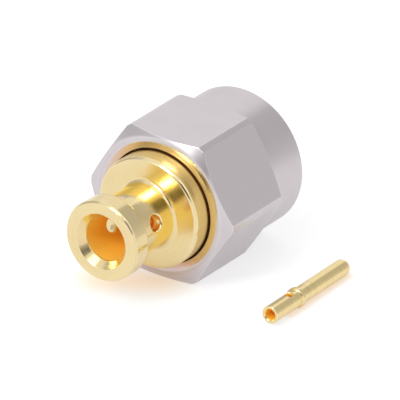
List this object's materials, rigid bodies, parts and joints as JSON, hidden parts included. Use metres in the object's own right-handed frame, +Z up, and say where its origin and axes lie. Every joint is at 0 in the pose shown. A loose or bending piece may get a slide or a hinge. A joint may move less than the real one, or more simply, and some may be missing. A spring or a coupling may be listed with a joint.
{
  "type": "sma connector",
  "caption": "Straight coaxial plug with a captive hex coupling nut, a solder ferrule for a thin cable, and its centre contact lying loose beside it.",
  "frame": {"origin": "on the connector's axis at the mating reference plane, the front face of the outer contact's nose", "axes": "+X along the connector's axis from the cable end to the mating end, +Z up from the surface that the coupling nut's flat rests on, which is at z = -4 mm"},
  "size_m": [0.013, 0.0128, 0.008],
  "materials": {
    "gold_plated_brass": "fine turned, gold plated",
    "passivated_steel": "satin, fine turned",
    "spring_bronze": "bright spring wire",
    "white_dielectric": "waxy, turned",
    "silicone_rubber": "moulded",
    "gold_plated_contact": "fine turned, gold plated"
  },
  "bodies": {
    "plug": {"connector_body": "gold_plated_brass", "retaining_ring": "spring_bronze", "insulator": "white_dielectric", "gasket": "silicone_rubber", "centre_contact": "gold_plated_contact"},
    "nut": {"coupling_nut": "passivated_steel"}
  },
  "joints": [
    {"name": "nut_spin", "type": "hinge", "parent": "plug", "child": "nut", "pos_m": [0, 0, 0], "axis": [1, 0, 0], "continuous": true}
  ]
}
